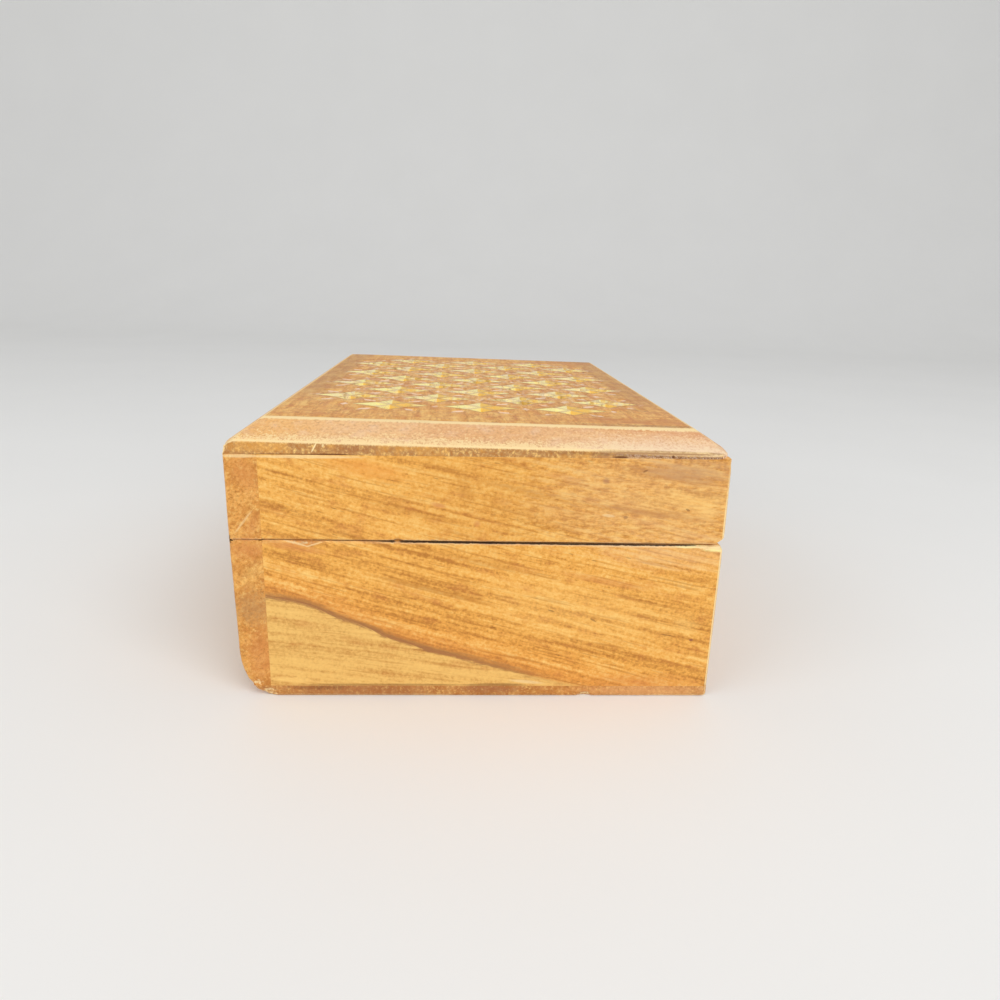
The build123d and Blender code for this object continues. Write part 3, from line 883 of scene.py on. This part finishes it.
def top_wood(settings):
    """The carved top board: duller flat, pinkish open grain and cream rims on the end bevels, partly painted
    sheen, and cuts with painted highlights and painted shade.
    """
    wood = Wood(settings, "top_board_wood", "YXZ", 0.02, 51.0)
    x, y, z = wood.place
    reach = abs(y)
    sunk = TOP_HEIGHT - x * TOP_FALL - z
    upper = wood.facing["Z"].ramp(-0.6, -0.3)
    ends = abs(wood.facing["Y"]).ramp(0.75, 0.85)
    bevel = reach.ramp(67.9, 68.1) * (1.0 - ends) * upper
    band = ends * reach.ramp(70.0, 71.0)
    flat = (1.0 - reach.ramp(67.4, 67.9)) * (47.0 - abs(x)).ramp(0.0, 0.5) * upper
    rough = x.ramp(5.0, 40.0)
    smear = wood.graph.noise((x * 0.09, y * 0.5, z * 0.5), 3.0, 0.65)
    fray = wood.graph.noise((x * 3.2, y * 3.2, z * 3.2), 2.0, 0.6) - 0.5
    wood.grow(wood.tone("top"), flat * 0.6 + 0.9, 0.4)
    tint_flat(wood, flat, rough, smear)
    tint_bevels(wood, bevel, rough, smear, fray)
    border = abs(reach - END_BORDER + (wood.grit - 0.5) * (rough + 0.6)) - rough * 0.15
    wood.tint(border.ramp(0.45, 0.9, 0.95, 0.0) * upper * (48.6 - abs(x)).ramp(0.0, 1.2), "rubbed")
    tint_ends(wood, band, rough, fray)
    tint_flowers(wood, flat, sunk)
    wood.mark(TOP_MARKS)
    side_rim = abs(abs(x + 0.05) - SIDE_BORDER).ramp(0.1, 0.5, 0.7, 0.0) * (1.0 - band)
    wood.tint(side_rim * sunk.ramp(0.3, 0.6, 1.0, 0.0) * upper, "rubbed")
    wood.inside(1.0 - upper)
    wood.wear()
    return wood.finish()


def brass(settings, name, dull, metal, flowers=False):
    """Rubbed brass, painted lighter on faces turned to the right (+X) and darker on faces turned left; on the
    flowers, a painted highlight on the pale left halves, painted shade on the golden right halves, and
    painted highlight and shade flecks past the first row.
    """
    look = settings.brass
    graph = Graph(name)
    x, y, z = graph.place()
    facing_x, _, facing_z = graph.facing()
    cloud = graph.noise((x * 0.16, y * 0.16, z * 0.9), 2.0, 0.5)
    patch = graph.noise((x * 0.9, y * 0.9, z * 0.9), 3.0, 0.6)
    grit = graph.noise((x * 4.0, y * 4.0, z * 4.0), 2.0, 0.6)
    # Painted light: faces turned to the right (+X) are painted lighter and faces turned left darker, mixed
    # with random patches
    turn = facing_x * 3.0 + (cloud - 0.5) * 3.0 + (patch - 0.5) * 2.0
    tarnish_shade_amount = patch.over(0.56) * 2.5 + grit.over(0.56) * 2.0 + dull
    if flowers:
        u = graph.flower_place(x, y)[0]
        # Painted light: the left halves and the tips of the right petals are painted pale as lit, the middles
        # golden as shaded
        turn = u.ramp(-0.3, 0.3, 0.5, -0.6) + u.ramp(3.5, 6.5, 0.0, 0.7) + turn * 0.15
        # Past the first row the petals get flecks of painted highlight and painted shade
        fleck = graph.noise((x * 0.5, y * 0.3, 33.0), 2.0, 0.6)
        rows_past_first = y.ramp(-48.0, -38.0)
        turn = turn * (1.0 - rows_past_first * 0.5) + (fleck - 0.48) * rows_past_first * 2.4
        # Painted shade on the flat rims round the petals and in dark flecks past the first row, besides the
        # tarnish
        tarnish_shade_amount = tarnish_shade_amount * 0.7 + facing_z.ramp(0.985, 0.998) * 0.4 + fleck.under(0.46) * rows_past_first * 3.0
        # Painted pinkish-white highlight, growing towards the far rows and in patches past the first row
        blush_highlight = ((cloud + y * 0.001 - 0.48).most(0.0) + patch.over(0.42) * rows_past_first).least(0.28) * 3.0
        bright = graph.mix(blush_highlight, linear(look.bright), linear(look.blush_highlight))
        colour = graph.mix(turn.ramp(-0.4, 0.3), linear(look.shaded_brass), bright)
    else:
        # Hinges and screws: lit and shaded copies of the brass, from the painted light above
        colour = graph.mix(turn.ramp(-1.2, 1.2), linear(look.dusky), linear(look.aged))
    colour = graph.mix(tarnish_shade_amount.least(0.8), colour, linear(look.tarnish_and_shade))
    values = {
        "Base Color": colour,
        "Metallic": metal,
        "Roughness": grit * 0.3 + (look.roughness - 0.12),
        "Normal": graph.bump(grit * 0.03 + patch * 0.08),
    }
    return graph.finish(graph.node("ShaderNodeBsdfPrincipled", None, values))


class BoxOperator(bpy.types.Operator):
    """Shared by the box's operators."""

    bl_options = {"REGISTER", "UNDO"}

    def settings(self, context):
        return context.scene.trinket_box


class BOX_OT_near_boards(BoxOperator):
    """Make the two near end boards, base and lid"""

    bl_idname = "trinket_box.near_boards"
    bl_label = "Near End Boards"

    def execute(self, context):
        settings = self.settings(context)
        make_wall("near_wall", near_wood(settings), settings)
        return {"FINISHED"}


class BOX_OT_other_boards(BoxOperator):
    """Make the long walls and the far end, base and lid"""

    bl_idname = "trinket_box.other_boards"
    bl_label = "Long Walls and Far End"

    def execute(self, context):
        settings = self.settings(context)
        left = plain_wood(settings, "left_wall_wood", "YZX", 0.03, 11.0, "light", "red", 0.35, LEFT_MARKS)
        right = plain_wood(settings, "right_wall_wood", "YZX", -0.04, 23.0, "light", "red")
        far = plain_wood(settings, "far_wall_wood", "XZY", 0.08, 37.0, "sap", "red")
        for wall, material in (("left_wall", left), ("right_wall", right), ("far_wall", far)):
            make_wall(wall, material, settings)
        return {"FINISHED"}


class BOX_OT_top_board(BoxOperator):
    """Make the bevelled and carved top board"""

    bl_idname = "trinket_box.top_board"
    bl_label = "Carved Top Board"

    def execute(self, context):
        settings = self.settings(context)
        sides = ("-X", "+X", "-Y", "+Y", "+Z")
        make_board("lid_top_board", "lid", sides, top_wood(settings), settings, carved=CARVED_FIELD)
        return {"FINISHED"}


class BOX_OT_bottom_board(BoxOperator):
    """Make the thin bottom board"""

    bl_idname = "trinket_box.bottom_board"
    bl_label = "Bottom Board"

    def execute(self, context):
        settings = self.settings(context)
        material = plain_wood(
            settings, "bottom_board_wood", "YXZ", 0.02, 71.0, "red", "knot", 0.45, BOTTOM_MARKS)
        make_board("base_bottom_board", "base", ("-X", "+X", "-Y", "+Y", "-Z"), material, settings)
        return {"FINISHED"}


def recoat(start, material):
    """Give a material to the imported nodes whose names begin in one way, and return these nodes."""
    nodes = [node for name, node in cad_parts.items() if name.startswith(start)]
    for node in nodes:
        node.data.materials.clear()
        node.data.materials.append(material)
    return nodes


class BOX_OT_inlay(BoxOperator):
    """Finish the brass flowers"""

    bl_idname = "trinket_box.inlay"
    bl_label = "Brass Flowers"

    def execute(self, context):
        recoat("inlay_row", brass(self.settings(context), "petal_brass", 0.0, 0.2, True))
        return {"FINISHED"}


def cut_slots(mesh, settings, seam_side):
    """Cut a slot along the box in the head of each screw, on the side that faces the seam."""
    look = settings.brass
    facing = side(seam_side)
    middle = sum(vert.co.x for vert in mesh.verts) / len(mesh.verts)
    slice_mesh(mesh, "X", [middle - look.slot_width / 2, middle + look.slot_width / 2])
    head = max(vert.co.dot(facing) for vert in mesh.verts)
    strips = [
        face for face in mesh.faces
        if face.normal.dot(facing) > 0.9
        and face.calc_center_median().dot(facing) > head - 0.02 * MM
        and abs(face.calc_center_median().x - middle) < look.slot_width / 2
    ]
    made = bmesh.ops.extrude_face_region(mesh, geom=strips)
    floor = [item for item in made["geom"] if isinstance(item, bmesh.types.BMVert)]
    bmesh.ops.translate(mesh, verts=floor, vec=facing * -look.slot_depth)
    bmesh.ops.delete(mesh, geom=[face for face in strips if face.is_valid], context="FACES_ONLY")


class BOX_OT_hinges(BoxOperator):
    """Finish the hinge leaves and pins"""

    bl_idname = "trinket_box.hinges"
    bl_label = "Hinges"

    def execute(self, context):
        settings = self.settings(context)
        for node in recoat("hinge", brass(settings, "hinge_brass", 0.2, 0.9)):
            node.modifiers.new("joined_corners", "WELD").merge_threshold = JOIN_REACH
            bevel = node.modifiers.new("broken_edge", "BEVEL")
            bevel.width = settings.brass.break_edge
            bevel.segments = 2
            bevel.angle_limit = math.radians(40)
        return {"FINISHED"}


class BOX_OT_screws(BoxOperator):
    """Make the hinge screws with slots in their heads"""

    bl_idname = "trinket_box.screws"
    bl_label = "Hinge Screws"

    def execute(self, context):
        settings = self.settings(context)
        material = brass(settings, "screw_brass", 0.3, 0.9)
        for body, seam in SEAM_SIDE.items():
            node = f"{body}_hinge_screws"
            mesh = open_node(node)
            cut_slots(mesh, settings, seam)
            add_piece(mesh, f"slotted_{node}", body, node, material)
        return {"FINISHED"}


def area_lamp(name, place, aim, size, power):
    """One soft square lamp that looks at a point."""
    lamp = bpy.data.lights.new(name, "AREA")
    lamp.size = size
    lamp.energy = power
    holder = bpy.data.objects.new(name, lamp)
    holder.location = place
    holder.rotation_euler = (Vector(aim) - Vector(place)).to_track_quat("-Z", "Y").to_euler()
    bpy.context.scene.collection.objects.link(holder)


class BOX_OT_stage(BoxOperator):
    """Set the floor, backdrop, lamps and camera"""

    bl_idname = "trinket_box.stage"
    bl_label = "Stage"

    def execute(self, context):
        stage = self.settings(context).stage
        self.lay_floor(stage)
        self.light(context, stage)
        self.place_camera(context, stage)
        context.scene.view_settings.view_transform = "Standard"
        return {"FINISHED"}

    def lay_floor(self, stage):
        graph = Graph("stage_paper")
        x, y, z = graph.place()
        cloud = graph.noise((x * 0.01, y * 0.01, z * 0.01), 2.0)
        shade = linear(stage.floor)
        paler = tuple(min(1.0, part * 1.04) for part in shade)
        colour = graph.mix(cloud, shade, paler)
        paper = graph.node("ShaderNodeBsdfPrincipled", None, {"Base Color": colour, "Roughness": 0.9})
        material = graph.finish(paper)
        mesh = bmesh.new()
        front, back, bend, top, half_width, steps = -1.5, 0.9, 0.5, 2.2, 3.0, 16
        profile = [(front, 0.0), (back, 0.0)]
        for step in range(1, steps + 1):
            turn = math.pi / 2 * step / steps
            profile.append((back + bend * math.sin(turn), bend - bend * math.cos(turn)))
        profile.append((back + bend, top))
        rows = []
        for place in profile:
            rows.append([mesh.verts.new((across, *place)) for across in (-half_width, half_width)])
        for near, far in zip(rows, rows[1:]):
            mesh.faces.new((near[0], near[1], far[1], far[0]))
        data = bpy.data.meshes.new("stage_floor")
        mesh.to_mesh(data)
        mesh.free()
        data.shade_smooth()
        data.materials.append(material)
        floor = bpy.data.objects.new("stage_floor", data)
        bpy.context.scene.collection.objects.link(floor)

    def light(self, context, stage):
        middle = (0, 0, 0.03)
        area_lamp("key_lamp", (0.45, -0.75, 0.75), middle, 0.7, stage.key)
        area_lamp("fill_lamp", (-0.7, -0.5, 0.45), middle, 0.6, stage.fill)
        world = bpy.data.worlds.new("studio_sky")
        world.use_nodes = True
        sky = world.node_tree.nodes["Background"]
        sky.inputs["Color"].default_value = (1, 1, 1, 1)
        sky.inputs["Strength"].default_value = stage.sky
        context.scene.world = world

    def place_camera(self, context, stage):
        data = bpy.data.cameras.new("photo_camera")
        data.sensor_width = 36
        data.lens = stage.lens
        data.clip_start = 0.01
        camera = bpy.data.objects.new("photo_camera", data)
        turn = Matrix.Rotation(stage.yaw, 3, "Z") @ Matrix.Rotation(-stage.pitch, 3, "X")
        turn = turn @ Matrix.Rotation(stage.roll, 3, "Y") @ Matrix.Rotation(math.pi / 2, 3, "X")
        camera.matrix_world = Matrix.Translation(stage.camera) @ turn.to_4x4()
        context.scene.collection.objects.link(camera)
        context.scene.camera = camera


OPERATORS = (
    BOX_OT_near_boards,
    BOX_OT_other_boards,
    BOX_OT_top_board,
    BOX_OT_bottom_board,
    BOX_OT_inlay,
    BOX_OT_hinges,
    BOX_OT_screws,
    BOX_OT_stage,
)


class BOX_PT_panel(bpy.types.Panel):
    """Lists the pieces of the trinket box"""

    bl_idname = "BOX_PT_panel"
    bl_label = "Trinket Box"
    bl_space_type = "VIEW_3D"
    bl_region_type = "UI"
    bl_category = "Trinket Box"

    def draw(self, context):
        for operator in OPERATORS:
            self.layout.operator(operator.bl_idname)


GROUPS = (WoodSettings, WearSettings, BrassSettings, StageSettings, BoxSettings)


def register():
    for group in (*GROUPS, *OPERATORS, BOX_PT_panel):
        bpy.utils.register_class(group)
    bpy.types.Scene.trinket_box = PointerProperty(type=BoxSettings)


def unregister():
    del bpy.types.Scene.trinket_box
    for group in reversed((*GROUPS, *OPERATORS, BOX_PT_panel)):
        bpy.utils.unregister_class(group)


def main():
    register()
    bpy.ops.trinket_box.near_boards()
    bpy.ops.trinket_box.other_boards()
    bpy.ops.trinket_box.top_board()
    bpy.ops.trinket_box.bottom_board()
    bpy.ops.trinket_box.inlay()
    bpy.ops.trinket_box.hinges()
    bpy.ops.trinket_box.screws()
    bpy.ops.trinket_box.stage()


if __name__ == "__main__":
    main()
